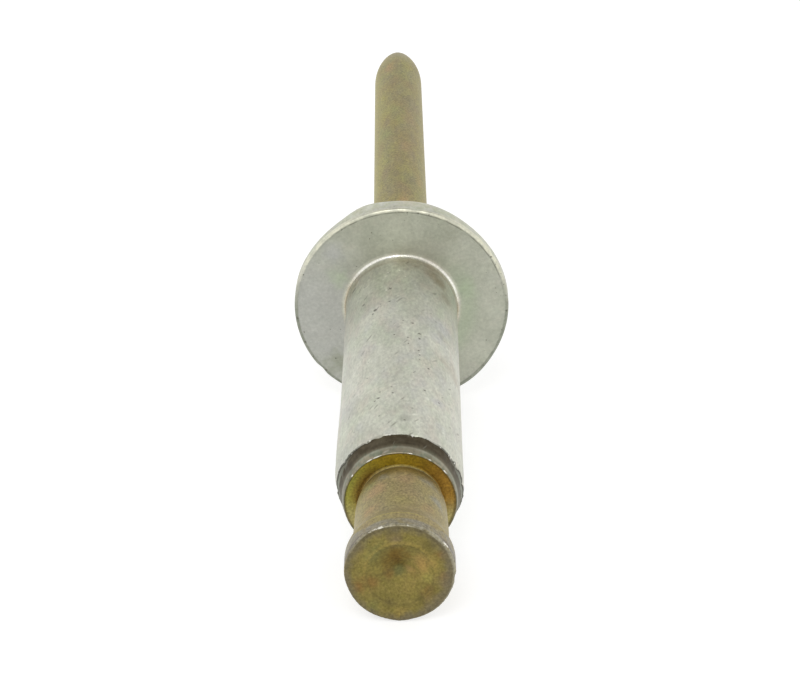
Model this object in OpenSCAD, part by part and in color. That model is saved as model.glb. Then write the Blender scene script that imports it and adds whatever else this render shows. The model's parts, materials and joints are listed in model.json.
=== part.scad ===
// Structural blind rivet, unset: a flanged sleeve rolled over the shear ring of its mandrel.
//
// Both pieces are turned shapes on one axis. Each is drawn as a half outline of [radius, height]
// points, with height 0 at the face of the mandrel's head and the flange above it. The pair is
// then laid down as it comes to rest on a table: on the flange's rim and the edge of the head,
// head towards -Y, stem towards +Y. The origin is at the middle of its box, on the table.

/* [Shank] */
// Outside diameter of the sleeve's shank
shank_d = 6.4; // [6.2:0.05:7.4]
// Length of the shank, from the flange's seat to the edge of the tail
shank_len = 21.1; // [14:0.1:32]
// Gap all round between the mandrel's core and the sleeve's bore
bore_gap = 0.05; // [0.02:0.01:0.12]
// Fillet between the shank and the flange's seat
seat_fillet_r = 0.12; // [0.05:0.01:0.4]

/* [Flange] */
// Diameter of the flange
flange_d = 12.3; // [11:0.1:14]
// Height of the straight part of the rim
rim_h = 0.7; // [0.4:0.05:2]
// Rounding of the rim's front edge
rim_edge_r = 0.15; // [0.05:0.01:0.3]
// Radius that turns the rim into the crown
shoulder_r = 2.4; // [1:0.1:3]
// Rise of the crown above the shoulder
crown_rise = 0.3; // [0.1:0.05:0.8]
// Chamfer where the bore opens in the crown
mouth_chamfer = 0.15; // [0.05:0.01:0.4]

/* [Tail] */
// Gap all round between the shear ring and the lip rolled over it
lip_gap = 0.01; // [0.005:0.005:0.03]
// Wall of the lip at its root
lip_wall = 0.16; // [0.12:0.01:0.2]
// Wall of the lip at its end
lip_end_wall = 0.07; // [0.05:0.01:0.1]
// Length of the lip
lip_len = 0.47; // [0.3:0.01:0.8]
// Length of the cone between the lip and the edge of the tail
tail_cone_len = 0.46; // [0.3:0.01:0.8]

/* [Mandrel head] */
// Diameter of the head
head_d = 5.3; // [4.9:0.05:6]
// Length of the head's side
head_len = 1.2; // [0.8:0.05:2]
// Rounding of the edge of the head's face
head_edge_r = 0.08; // [0.05:0.01:0.3]
// Rounding of the edge behind the head
head_back_r = 0.1; // [0.05:0.01:0.2]
// Length of the cone from the head down to the plug
head_cone_len = 0.6; // [0.3:0.05:1]
// Diameter of the dimple in the face
dimple_d = 3.3; // [2:0.1:4]
// Depth of the dimple
dimple_depth = 0.75; // [0.3:0.05:1]
// Radius of the dimple's bottom
dimple_bottom_r = 0.2; // [0.1:0.05:0.4]

/* [Plug and shear ring] */
// Diameter of the plug, the thick part that is pulled into the sleeve, next to the head
plug_d = 4.5; // [4:0.05:4.8]
// Diameter of the plug next to the shear ring
plug_root_d = 4.2; // [3.8:0.05:4.6]
// Length of the plug, from the cone to the shear ring
plug_len = 4.8; // [3:0.1:8]
// Fillet between the plug and the shear ring
root_fillet_r = 0.1; // [0.05:0.01:0.25]
// Diameter of the shear ring
ring_d = 5.46; // [5.3:0.02:5.7]
// Thickness of the shear ring
ring_t = 1.1; // [0.6:0.05:2]

/* [Core] */
// Diameter of the core, the stretch of the mandrel that fills the sleeve
core_d = 3.7; // [3.6:0.05:4.2]
// Diameter of the neck where the mandrel breaks
neck_d = 2.5; // [2:0.05:2.7]
// Length of the flat bottom of the neck
neck_len = 0.4; // [0.2:0.05:1]
// Length of each cone beside the neck
neck_cone_len = 0.5; // [0.3:0.05:1]
// Depth of the neck below the top of the crown
neck_depth = 9; // [6:0.5:12]

/* [Stem] */
// Diameter of the stem
stem_d = 3.3; // [2.8:0.05:3.5]
// Length of stem that stands out of the crown
stem_out = 38.8; // [20:0.1:50]
// Length of the tapered end
tip_len = 6.1; // [3:0.1:9]
// Radius of the stem's tip
tip_r = 0.33; // [0.2:0.01:1]

/* [Hidden] */
$fn = 96;
arc_steps = 8;          // straight steps in each rounded stretch of an outline

// Radii
shank_r = shank_d / 2;
rim_r = flange_d / 2;
stem_r = stem_d / 2;
core_r = core_d / 2;
bore_r = core_r + bore_gap;
ring_r = ring_d / 2;
seat_r = ring_r + lip_gap;
lip_r = seat_r + lip_wall;
lip_end_r = seat_r + lip_end_wall;
head_r = head_d / 2;
plug_r = plug_d / 2;
plug_root_r = plug_root_d / 2;
neck_r = neck_d / 2;

// Heights above the face of the head
head_back_z = head_len + head_cone_len;
ring_face_z = head_back_z + plug_len;
ring_back_z = ring_face_z + ring_t;
lip_root_z = ring_face_z + lip_len;
tail_z = lip_root_z + tail_cone_len;
seat_z = tail_z + shank_len;
rim_top_z = seat_z + rim_h;
crown_z = rim_top_z + shoulder_r + crown_rise;
tip_z = crown_z + stem_out;
taper_z = tip_z - tip_len;
neck_z = crown_z - neck_depth;

// The crown is an arc about the axis that the shoulder's arc runs into without a corner
shoulder_c = rim_r - shoulder_r;
crown_drop = (shoulder_c * shoulder_c - crown_rise * crown_rise) / (2 * crown_rise);
crown_c = rim_top_z - crown_drop;
crown_r = crown_z - crown_c;
crown_start = atan2(crown_drop, shoulder_c);
mouth_r = bore_r + mouth_chamfer;
crown_end = acos(mouth_r / crown_r);
mouth_z = crown_c + crown_r * sin(crown_end);
core_end_z = mouth_z - mouth_chamfer;

// The tapered end is an arc that runs into the stem and into the ball of the tip without corners
ball_z = tip_z - tip_r;
taper_dz = ball_z - taper_z;
taper_r = (taper_dz * taper_dz + stem_r * stem_r - tip_r * tip_r) / (2 * (stem_r - tip_r));
taper_end = atan2(taper_dz, taper_r - stem_r);

// The dimple's wall runs into the ball at its bottom without a corner
dimple_r = dimple_d / 2;
dimple_c = dimple_depth - dimple_bottom_r;
dimple_a = atan2(dimple_c, dimple_r) + asin(dimple_bottom_r / norm([dimple_r, dimple_c]));

// Lying down, a straight line touches the rounded edges of the head's face and the rim
edge_dz = (seat_z + rim_edge_r) - head_edge_r;
edge_dr = (rim_r - rim_edge_r) - (head_r - head_edge_r);
tilt = atan2(edge_dr, edge_dz) - asin((head_edge_r - rim_edge_r) / norm([edge_dz, edge_dr]));
lift = (rim_r - rim_edge_r) * cos(tilt) - (seat_z + rim_edge_r) * sin(tilt) + rim_edge_r;
low_y = head_edge_r * cos(tilt) - (head_r - head_edge_r) * sin(tilt) - head_edge_r;
high_y = ball_z * cos(tilt) + tip_r;

// Points of an arc about [radius, height], from one angle to another
function arc(centre, r, from, to) = [
    for (i = [0:arc_steps])
        let (a = from + (to - from) * i / arc_steps)
            centre + r * [cos(a), sin(a)]
];

// Lays a piece down on the table
module at_rest() {
    translate([0, -(low_y + high_y) / 2, lift]) rotate([tilt - 90, 0, 0]) children();
}

// Flanged tube, counterbored at its tail for the shear ring, with the rim of the counterbore rolled
module sleeve() {
    outline = concat(
        [[seat_r, ring_back_z], [seat_r, ring_face_z]],
        arc([lip_end_r - lip_end_wall / 2, ring_face_z + lip_end_wall / 2], lip_end_wall / 2, -90, 0),
        [[lip_r, lip_root_z], [shank_r, tail_z]],
        arc([shank_r + seat_fillet_r, seat_z - seat_fillet_r], seat_fillet_r, 180, 90),
        arc([rim_r - rim_edge_r, seat_z + rim_edge_r], rim_edge_r, -90, 0),
        arc([shoulder_c, rim_top_z], shoulder_r, 0, crown_start),
        arc([0, crown_c], crown_r, crown_start, crown_end),
        [[bore_r, core_end_z], [bore_r, ring_back_z]]
    );
    color("#c4c4b6") at_rest() rotate_extrude() polygon(outline);
}

// One bar: dimpled head, plug, shear ring, core with its breaking neck, and stem
module mandrel() {
    outline = concat(
        arc([0, dimple_c], dimple_bottom_r, 90, 90 - dimple_a),
        [[dimple_r, 0]],
        arc([head_r - head_edge_r, head_edge_r], head_edge_r, -90, 0),
        arc([head_r - head_back_r, head_len - head_back_r], head_back_r, 0, 45),
        [[plug_r, head_back_z]],
        arc([plug_root_r + root_fillet_r, ring_face_z - root_fillet_r], root_fillet_r, 180, 90),
        [[ring_r, ring_face_z], [ring_r, ring_back_z], [core_r, ring_back_z]],
        [[core_r, neck_z - neck_len / 2 - neck_cone_len], [neck_r, neck_z - neck_len / 2]],
        [[neck_r, neck_z + neck_len / 2], [core_r, neck_z + neck_len / 2 + neck_cone_len]],
        [[core_r, core_end_z], [stem_r, core_end_z]],
        arc([stem_r - taper_r, taper_z], taper_r, 0, taper_end),
        arc([0, ball_z], tip_r, taper_end, 90)
    );
    color("#a39560") at_rest() rotate_extrude() polygon(outline);
}

sleeve();
mandrel();
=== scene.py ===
import bpy
import bmesh
import math
import json
from mathutils import Vector, Matrix


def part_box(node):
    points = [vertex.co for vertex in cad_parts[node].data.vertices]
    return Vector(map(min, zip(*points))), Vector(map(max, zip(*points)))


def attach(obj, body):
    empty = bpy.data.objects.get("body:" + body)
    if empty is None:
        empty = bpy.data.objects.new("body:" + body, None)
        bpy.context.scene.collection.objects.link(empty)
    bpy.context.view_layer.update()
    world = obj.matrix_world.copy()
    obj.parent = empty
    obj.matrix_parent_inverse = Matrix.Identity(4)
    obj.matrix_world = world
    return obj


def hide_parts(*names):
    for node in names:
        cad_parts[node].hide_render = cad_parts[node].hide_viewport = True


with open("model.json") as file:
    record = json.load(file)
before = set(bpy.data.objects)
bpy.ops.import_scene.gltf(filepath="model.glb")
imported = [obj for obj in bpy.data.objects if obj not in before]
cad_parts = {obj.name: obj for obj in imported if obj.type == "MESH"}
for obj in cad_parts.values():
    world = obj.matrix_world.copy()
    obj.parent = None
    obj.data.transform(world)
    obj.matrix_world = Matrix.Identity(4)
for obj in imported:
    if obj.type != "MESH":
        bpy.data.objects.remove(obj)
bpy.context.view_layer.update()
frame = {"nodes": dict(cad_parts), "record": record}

mm = 0.001

# the rivet's own axis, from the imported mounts
mounts = {m["name"]: m for m in frame["record"]["mounts"]}
axis = Vector(mounts["pulling_stem"]["axis"]).normalized()
stemSpot = Vector(mounts["pulling_stem"]["pos_m"])
tilt = math.asin(axis.z)


def alongAxis(node):
    # lowest and highest height of a node along the rivet's axis, measured from stemSpot
    heights = [(v.co - stemSpot).dot(axis) for v in frame["nodes"][node].data.vertices]
    return min(heights), max(heights)


faceHeight, tipHeight = alongAxis("mandrel")
lipHeight, crownHeight = alongAxis("sleeve")
headFace = stemSpot + axis * faceHeight
toRest = Matrix.Translation(headFace) @ Matrix.Rotation(tilt - math.pi / 2, 4, "X")


def heightOf(spot):
    return (Vector(spot) - headFace).dot(axis) / mm


# heights in mm above the head's face, and radii in mm
shankMount = mounts["shank"]
stemMount = mounts["pulling_stem"]
shankMiddle = heightOf(shankMount["pos_m"])
shankHalf = shankMount["dims"]["length_mm"] / 2
stemHalf = stemMount["dims"]["length_mm"] / 2
place = {
    "lipEnd": (lipHeight - faceHeight) / mm,
    "tail": shankMiddle - shankHalf,
    "seat": heightOf(mounts["flange_seat"]["pos_m"]),
    "crown": (crownHeight - faceHeight) / mm,
    "taper": heightOf(stemMount["pos_m"]) + stemHalf,
    "tip": (tipHeight - faceHeight) / mm,
    "shankR": shankMount["dims"]["r_mm"],
    "stemR": stemMount["dims"]["r_mm"],
    "flangeR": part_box("sleeve")[1].x / mm,
}
print("places", {name: round(value, 3) for name, value in place.items()})


# ---- turned pieces: an outline of [radius, height] in mm is drawn, rounded and spun
def arcPoints(centre, radius, start, end, count):
    points = []
    for i in range(count + 1):
        angle = start + (end - start) * i / count
        points.append((centre[0] + radius * math.cos(angle), centre[1] + radius * math.sin(angle)))
    return points


def pickVerts(piece, test):
    # selects the vertices that pass a test of radius, height and clock angle, 0 at the top
    shape = bmesh.from_edit_mesh(piece.data)
    for v in shape.verts:
        v.select = test(math.hypot(v.co.x, v.co.y) / mm, v.co.z / mm, math.atan2(v.co.x, -v.co.y))
    shape.select_flush_mode()
    bmesh.update_edit_mesh(piece.data)


def roundCorner(piece, corner, size, segments):
    pickVerts(piece, lambda r, h, a: math.hypot(r - corner[0], h - corner[1]) < 0.0005)
    bpy.ops.mesh.bevel(offset=size * mm, segments=segments, affect="VERTICES")


def divideLong(piece, longest):
    # cuts the long straight stretches of an outline, so that they can take dents
    while True:
        shape = bmesh.from_edit_mesh(piece.data)
        for e in shape.edges:
            e.select = e.calc_length() > longest * mm
        shape.select_flush_mode()
        if not any(e.select for e in shape.edges):
            break
        bmesh.update_edit_mesh(piece.data)
        bpy.ops.mesh.subdivide(number_cuts=1)


def turnPiece(name, outline, rounded, steps, longest, closed):
    bpy.ops.object.select_all(action="DESELECT")
    bpy.ops.mesh.primitive_plane_add(size=mm, location=(0, 0, 0))
    piece = bpy.context.object
    piece.name = name
    piece.data.name = name
    bpy.ops.object.mode_set(mode="EDIT")
    bpy.ops.mesh.select_mode(type="VERT")
    bpy.ops.mesh.select_all(action="SELECT")
    bpy.ops.mesh.merge(type="CENTER")
    spots = [Vector((radius, 0, height)) * mm for radius, height in outline]
    bpy.ops.transform.translate(value=spots[0])
    for before, after in zip(spots, spots[1:]):
        bpy.ops.mesh.extrude_vertices_move(TRANSFORM_OT_translate={"value": after - before})
    if closed:
        ends = (outline[0], outline[-1])
        pickVerts(piece, lambda r, h, a: min(math.hypot(r - e[0], h - e[1]) for e in ends) < 0.0005)
        bpy.ops.mesh.edge_face_add()
    for corner, size, segments in rounded:
        roundCorner(piece, corner, size, segments)
    divideLong(piece, longest)
    bpy.ops.mesh.select_all(action="SELECT")
    bpy.ops.mesh.spin(steps=steps, angle=2 * math.pi, center=(0, 0, 0), axis=(0, 0, 1))
    bpy.ops.mesh.select_all(action="SELECT")
    bpy.ops.mesh.remove_doubles(threshold=2e-7)
    bpy.ops.mesh.normals_make_consistent(inside=False)
    bpy.ops.mesh.select_all(action="DESELECT")
    return piece


def smoothStep(value, low, high):
    share = min(1, max(0, (value - low) / (high - low)))
    return share * share * (3 - 2 * share)


def fadeOut(value, low, high):
    # 1 below low, 0 above high
    return smoothStep(-value, -high, -low)


def nearClock(angle, clock, width, soft):
    # 1 near a clock angle in degrees, 0 beyond width to either side
    return smoothStep(width - abs(math.degrees(angle) - clock), 0, soft)


def push(piece, share, amount, direction="NORMAL", lumps=None):
    # moves vertices by amount in mm times their share, a function of radius, height and clock angle;
    # with lumps, a size and a seed, the amount is uneven
    bpy.ops.object.mode_set(mode="OBJECT")
    group = piece.vertex_groups.new(name="share")
    for v in piece.data.vertices:
        part = share(math.hypot(v.co.x, v.co.y) / mm, v.co.z / mm, math.atan2(v.co.x, -v.co.y))
        if part > 0:
            group.add([v.index], part, "REPLACE")
    change = piece.modifiers.new("push", "DISPLACE")
    change.direction = direction
    change.strength = amount * mm
    change.mid_level = 0
    change.vertex_group = group.name
    if lumps:
        size, seed = lumps
        texture = bpy.data.textures.new(piece.name + "Lumps" + str(seed), "CLOUDS")
        texture.noise_scale = size * mm
        texture.noise_depth = 1
        change.texture = texture
        change.texture_coords = "LOCAL"
        change.mid_level = 0.5
    bpy.ops.object.modifier_apply(modifier="push")
    piece.vertex_groups.clear()
    bpy.ops.object.mode_set(mode="EDIT")
    bpy.ops.mesh.select_all(action="DESELECT")


def spotAt(radius, height, clock):
    # the point at a radius, a height and a clock angle in degrees
    angle = math.radians(clock)
    return Vector((radius * math.sin(angle), -radius * math.cos(angle), height))


def addDents(piece, dents):
    # soft hollows, each [radius, height, clock, size, depth] in mm and degrees
    spots = [(spotAt(radius, height, clock), size, depth) for radius, height, clock, size, depth in dents]

    def depthAt(r, h, a):
        here = spotAt(r, h, math.degrees(a))
        return max(depth * smoothStep(size - (here - spot).length, 0, size) for spot, size, depth in spots)

    push(piece, depthAt, -1)


def scatter(piece, test, amount, seed):
    # moves each vertex that passes the test a little at random, in mm
    pickVerts(piece, test)
    bpy.ops.transform.vertex_random(offset=amount * mm, seed=seed)
    bpy.ops.mesh.select_all(action="DESELECT")


def swing(piece, fromHeight, degrees, pivot):
    # turns everything beyond a height sideways about a pivot on the axis
    pickVerts(piece, lambda r, h, a: h > fromHeight)
    bpy.ops.transform.rotate(value=math.radians(degrees), orient_axis="Y", center_override=pivot)
    bpy.ops.mesh.select_all(action="DESELECT")


def layDown(piece):
    # from upright at the origin to the way the rivet lies, with nothing left on the object
    bpy.ops.object.mode_set(mode="OBJECT")
    bpy.ops.object.shade_smooth_by_angle(angle=math.radians(32))
    piece.matrix_world = toRest
    bpy.ops.object.transform_apply(location=True, rotation=True, scale=True)


def finishPiece(piece, node):
    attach(piece, "root")
    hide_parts(node)


# degrees sideways, of the sleeve and of the stem in it
lean = {"sleeve": -0.25, "stem": 0.76}

# ---- sleeve
sleeveSet = {
    "steps": 256,
    "longest": 0.6,         # longest stretch of the outline that stays undivided
    "seatR": 2.78,          # counterbore round the shear ring
    "seatDepth": 1.1,
    "lipWall": 0.045,
    "low": 0.04,            # how far the opening and the shear ring lie below the axis
    "lipRootR": 2.885,
    "lipLength": 0.38,
    "tailBack": 0.16,       # the tail's edge above lies this far behind its place in the frame
    "burr": 0.03,           # how far the tail's edge stands proud
    "burrLength": 0.2,
    "edgeLumps": 0.03,      # how uneven the tail's edge is, and how rough it and the lip are
    "edgeRough": 0.018,
    "lipRough": 0.012,
    "fillet": 0.19,
    "rimHeight": 0.7,
    "rimEdge": 0.14,
    "shoulder": 2.4,
    "crownRise": 0.3,
    "boreR": 1.9,
    "chamfer": 0.15,
    "leanBack": 0.85,       # how far the tail's edge lies back at its lowest point
    "drawnIn": 0.12,        # how far it is drawn in at its sides and below
    # clock angle, half width, its soft part, and how far the dome's shoulder stands out there
    "domeUneven": [(-48, 29, 26, -0.13), (-20, 15, 15, 0.07), (47, 38, 34, -0.1)],
    # clock angle, half width, amount, and the heights from which it grows and where it is full, of the
    # places where the shank stands out of round, and the first three of those on the flange's rim
    "bulges": [(-82, 60, 0.09, 17.5, 10.5), (125, 50, 0.09, 11.5, 8.5)],
    "rimBulges": [(0, 160, 0.045), (143, 28, 0.08)],
    "nickSize": 0.3,
    # clock angle of each nick in the tail's edge, and its depth
    "edgeNicks": [(-62, 0.04), (-31, 0.05), (-19, 0.04), (13, 0.04), (33, 0.03), (58, 0.04), (68, 0.07),
                  (87, 0.06), (140, 0.05), (178, 0.06), (-95, 0.05), (-130, 0.06)],
    # radius, height, clock angle, size and depth of the larger dents
    "dents": [(3.2, 27.9, -58, 0.7, 0.08), (3.2, 24.5, -12, 0.6, 0.05), (3.2, 22.3, -27, 0.5, 0.04),
              (3.2, 11.9, -21, 0.5, 0.04), (3.2, 16.5, 140, 0.9, 0.06), (6.15, 28.7, 83, 0.4, 0.07),
              (6.15, 28.7, 58, 0.4, 0.05), (6.15, 28.7, 9, 0.5, 0.05), (6.15, 28.7, -131, 0.5, 0.06),
              (6.15, 28.9, -70, 0.6, 0.05)],
}


def edgeHeight(angle):
    # height of the leaning tail edge at a clock angle
    return place["tail"] + sleeveSet["tailBack"] + sleeveSet["leanBack"] * (1 - math.cos(angle)) / 2


def drawnShare(angle):
    # the tail is drawn in at the sides and below, less so low on the right
    return smoothStep(abs(angle), 0.25, 1.1) * (1 - 0.85 * smoothStep(angle, 1.05, 2.0))


def edgeRadius(angle):
    # radius of the tail edge at a clock angle
    return place["shankR"] - sleeveSet["drawnIn"] * drawnShare(angle)


def edgeSpot(clock):
    # radius and height of the tail edge at a clock angle in degrees
    angle = math.radians(clock)
    return edgeRadius(angle), edgeHeight(angle)


def makeSleeve():
    s = sleeveSet
    lipEnd, tail, seat = place["lipEnd"], edgeHeight(0), place["seat"]
    lipRoot = lipEnd + s["lipLength"]
    seatEnd = lipEnd + s["seatDepth"]
    rimTop = seat + s["rimHeight"]
    shoulderR = place["flangeR"] - s["shoulder"]
    drop = (shoulderR ** 2 - s["crownRise"] ** 2) / (2 * s["crownRise"])
    crownCentre = rimTop - drop
    crownR = place["crown"] - crownCentre
    mouthR = s["boreR"] + s["chamfer"]
    meet = math.atan2(drop, shoulderR)
    mouth = math.acos(mouthR / crownR)
    mouthHeight = crownCentre + crownR * math.sin(mouth)
    lipOuter = s["seatR"] + s["lipWall"]
    shankR = place["shankR"]
    outline = [
        (s["seatR"], seatEnd),
        (s["seatR"], lipEnd),
        (lipOuter, lipEnd),
        (s["lipRootR"], lipRoot),
        (shankR - s["burr"], tail - 0.03),
        (shankR + s["burr"], tail + 0.04),
        (shankR, tail + s["burrLength"]),
        (shankR, seat),
        (place["flangeR"], seat),
    ]
    outline += arcPoints((shoulderR, rimTop), s["shoulder"], 0, meet, 14)
    outline += arcPoints((0, crownCentre), crownR, meet, mouth, 10)[1:]
    outline += [(s["boreR"], mouthHeight - s["chamfer"]), (s["boreR"], seatEnd)]
    rounded = [
        ((lipOuter, lipEnd), 0.03, 3),
        ((s["lipRootR"], lipRoot), 0.22, 6),
        ((shankR, seat), s["fillet"], 8),
        ((place["flangeR"], seat), s["rimEdge"], 5),
    ]
    piece = turnPiece("rivetSleeve", outline, rounded, s["steps"], s["longest"], True)

    # the rolled tail: its edge leans back and is drawn in at the sides and below
    lipRootR = s["lipRootR"]
    push(piece, lambda r, h, a: smoothStep(r, lipRootR, shankR) * fadeOut(h, tail + 0.2, tail + 2.6)
         * (1 - math.cos(a)) / 2, s["leanBack"], "Z")
    for clock, width, amount, start, full in s["bulges"]:
        push(piece, lambda r, h, a: smoothStep(r, lipRootR, shankR) * fadeOut(h, full, start)
             * nearClock(a, clock, width, width), amount)
    push(piece, lambda r, h, a: smoothStep(r, lipRootR, shankR - 0.02) * drawnShare(a)
         * fadeOut(h, edgeHeight(a) - 0.05, edgeHeight(a) + 1), -s["drawnIn"])
    inOpening = lambda r, h, a: (smoothStep(r, 2.2, 2.6) * fadeOut(r, lipOuter, shankR)
                                 * fadeOut(h, seatEnd, seatEnd + 0.2))
    push(piece, inOpening, s["low"], "Y")
    push(piece, inOpening, s["low"] / 2, "X")

    # the flange's rim and the dome's shoulder are a little out of round
    for clock, width, amount in s["rimBulges"]:
        push(piece, lambda r, h, a: smoothStep(r, place["flangeR"] - 0.25, place["flangeR"])
             * nearClock(a, clock, width, 30), amount)
    for clock, width, soft, amount in s["domeUneven"]:
        push(piece, lambda r, h, a: smoothStep(h, rimTop - 0.3, rimTop + 0.6) * smoothStep(r, 4.6, 5.6)
             * nearClock(a, clock, width, soft), amount)

    # rough edges, nicks and dents
    onEdge = lambda r, h, a: r > shankR - 0.25 and h < edgeHeight(a) + 0.12
    onLip = lambda r, h, a: h < lipRoot - 0.1 and r > s["seatR"] + 0.01
    push(piece, onEdge, s["edgeLumps"], lumps=(0.3, 1))
    scatter(piece, onEdge, s["edgeRough"], 5)
    scatter(piece, onLip, s["lipRough"], 6)
    nicks = [(*edgeSpot(clock), clock, s["nickSize"], depth) for clock, depth in s["edgeNicks"]]
    addDents(piece, s["dents"] + nicks)
    swing(piece, 0, lean["sleeve"], (0, 0, tail * mm))
    layDown(piece)
    finishPiece(piece, "sleeve")
    print("sleeve made", len(piece.data.polygons))
    return piece


# ---- mandrel
mandrelSet = {
    "steps": 192,
    "longest": 0.7,         # longest stretch of the outline that stays undivided
    "headR": 2.65,
    "headLength": 1.2,
    "headEdge": 0.13,
    "faceTilt": 2.3,        # degrees that the face is turned up
    "edgeWarp": 0.13,       # how far the face's edge is bent, back on one side and forward on the other
    "edgeWorn": 0.06,       # how far the face's edge lies back, low on both sides
    "edgeRough": 0.012,
    "stemShift": 0.06,      # how far the stem stands to one side in the sleeve's mouth
    "stemSwell": 0.055,     # how much thicker the stem is near the mouth
    "swellEnds": (42, 54),  # heights between which that fades out
    "coneLength": 0.8,
    "dimpleR": 1.62,
    "dimpleDepth": 0.6,
    "pitR": 0.85,           # where the dimple turns steeper
    "pitDepth": 0.22,
    "ridge": 0.04,          # how far the dimple's rim stands proud of the face
    "plugR": 2.36,
    "plugRootR": 2.07,
    "flareR": 2.25,         # radius of the plug where the flare at its root ends
    "flareLength": 0.95,
    "plugShift": 0.06,      # how far the plug's root stands to one side
    "bead": 0.03,           # bead at the plug's root, on the shear ring
    "ringR": 2.77,
    "ringThick": 1.1,
    "coreR": 1.85,
    "coreEnd": 0.25,        # below the top of the crown
    "tipR": 0.33,
    # radius, height, clock angle, size and depth of the larger dents
    "dents": [(1.55, 0.02, -165, 0.35, 0.06), (2.6, 0.02, 95, 0.3, 0.06),
              (0.55, 0.4, -115, 0.4, 0.04), (0.85, 0.25, -100, 0.4, 0.03), (2.62, 0.05, 200, 0.4, 0.05),
              (2.62, 0.05, 48, 0.3, 0.04), (2.65, -0.15, 180, 2.4, 0.035)],
}


def makeMandrel():
    s = mandrelSet
    headR = s["headR"]
    ringFace = place["lipEnd"]
    ringBack = ringFace + s["ringThick"]
    coreEnd = place["crown"] - s["coreEnd"]
    ball = place["tip"] - s["tipR"]
    taper, stemR = place["taper"], place["stemR"]
    reach = ball - taper
    ogive = (reach ** 2 + stemR ** 2 - s["tipR"] ** 2) / (2 * (stemR - s["tipR"]))
    turnEnd = math.atan2(reach, ogive - stemR)
    beadR = s["plugRootR"] + s["bead"]
    coneEnd = s["headLength"] + s["coneLength"]
    outline = [
        (0, s["dimpleDepth"]),
        (0.15, s["dimpleDepth"] - 0.02),
        (s["pitR"], s["pitDepth"]),
        (s["dimpleR"] - 0.1, 0.03),
        (s["dimpleR"], -s["ridge"]),
        (s["dimpleR"] + 0.14, 0),
        (headR, 0),
        (headR, s["headLength"]),
        (s["plugR"], coneEnd),
        (s["flareR"], ringFace - s["flareLength"]),
        (s["plugRootR"], ringFace - 0.2),
        (s["plugRootR"] - 0.03, ringFace - 0.08),
        (beadR, ringFace - 0.05),
        (beadR + 0.03, ringFace),
        (s["ringR"], ringFace),
        (s["ringR"], ringBack),
        (s["coreR"], ringBack),
        (s["coreR"], coreEnd),
        (stemR, coreEnd),
    ]
    outline += arcPoints((stemR - ogive, taper), ogive, 0, turnEnd, 14)
    outline += arcPoints((0, ball), s["tipR"], turnEnd, math.pi / 2, 6)[1:]
    outline[-1] = (0, outline[-1][1])
    rounded = [
        ((0.15, s["dimpleDepth"] - 0.02), 0.12, 5),
        ((s["pitR"], s["pitDepth"]), 0.35, 6),
        ((s["dimpleR"], -s["ridge"]), 0.04, 3),
        ((headR, 0), s["headEdge"], 5),
        ((headR, s["headLength"]), 0.1, 4),
        ((s["plugR"], coneEnd), 0.3, 4),
        ((s["flareR"], ringFace - s["flareLength"]), 0.4, 5),
        ((beadR, ringFace - 0.05), 0.02, 2),
    ]
    piece = turnPiece("rivetMandrel", outline, rounded, s["steps"], s["longest"], False)

    # the face is turned up, and its edge is bent and worn
    pickVerts(piece, lambda r, h, a: h < 0.3 or r < s["dimpleR"] and h < 1)
    bpy.ops.transform.rotate(value=math.radians(s["faceTilt"]), orient_axis="X",
                             center_override=(0, -headR * mm, 0))
    for clock, amount in ((-0.6, s["edgeWarp"]), (0.75, -s["edgeWarp"])):
        push(piece, lambda r, h, a: smoothStep(r, 1.9, 2.6) * fadeOut(h, 0.3, 0.8)
             * smoothStep(0.5 - abs(a - clock), 0, 0.5), amount, "Z")
    push(piece, lambda r, h, a: smoothStep(r, headR - 0.15, headR - 0.03) * fadeOut(h, 0.2, 0.9)
         * smoothStep(0.9 - abs(abs(a) - 2.4), 0, 0.5), -s["edgeWorn"])
    scatter(piece, lambda r, h, a: r > headR - 0.15 and h < 0.15, s["edgeRough"], 3)
    addDents(piece, s["dents"])

    # the stem stands to one side in the mouth, and the ring and the plug lie off the axis
    push(piece, lambda r, h, a: smoothStep(h, coreEnd, coreEnd + 2), s["stemShift"], "X")
    push(piece, lambda r, h, a: (r < s["coreR"] and h > coreEnd - 0.01) * fadeOut(h, *s["swellEnds"]),
         s["stemSwell"])
    onRing = lambda r, h, a: smoothStep(r, 2.3, 2.7) * (ringFace - 0.01 < h < ringBack + 0.01)
    push(piece, onRing, sleeveSet["low"], "Y")
    push(piece, onRing, sleeveSet["low"] / 2, "X")
    push(piece, lambda r, h, a: smoothStep(h, 1, 4) * (h < ringFace + 0.01) * fadeOut(r, 2.4, 2.6),
         s["plugShift"], "X")
    swing(piece, place["tail"], lean["sleeve"], (0, 0, place["tail"] * mm))
    swing(piece, place["crown"] - 0.1, lean["stem"], (0, 0, place["crown"] * mm))
    layDown(piece)
    finishPiece(piece, "mandrel")
    print("mandrel made", len(piece.data.polygons))
    return piece


sleeve = makeSleeve()
mandrel = makeMandrel()


# ---- materials: wires that are worked with like numbers, then the effects that both finishes share
class Wire:
    # a node's output; sums, products and comparisons of wires add the nodes that work them out
    def __init__(self, socket):
        self.socket = socket
        self.tree = socket.id_data

    __add__ = lambda self, other: calc("ADD", self, other)
    __radd__ = lambda self, other: calc("ADD", other, self)
    __sub__ = lambda self, other: calc("SUBTRACT", self, other)
    __rsub__ = lambda self, other: calc("SUBTRACT", other, self)
    __mul__ = lambda self, other: calc("MULTIPLY", self, other)
    __truediv__ = lambda self, other: calc("DIVIDE", self, other)
    __rtruediv__ = lambda self, other: calc("DIVIDE", other, self)
    __lt__ = lambda self, other: calc("LESS_THAN", self, other)
    __gt__ = lambda self, other: calc("GREATER_THAN", self, other)
    __abs__ = lambda self: calc("ABSOLUTE", self)


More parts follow.
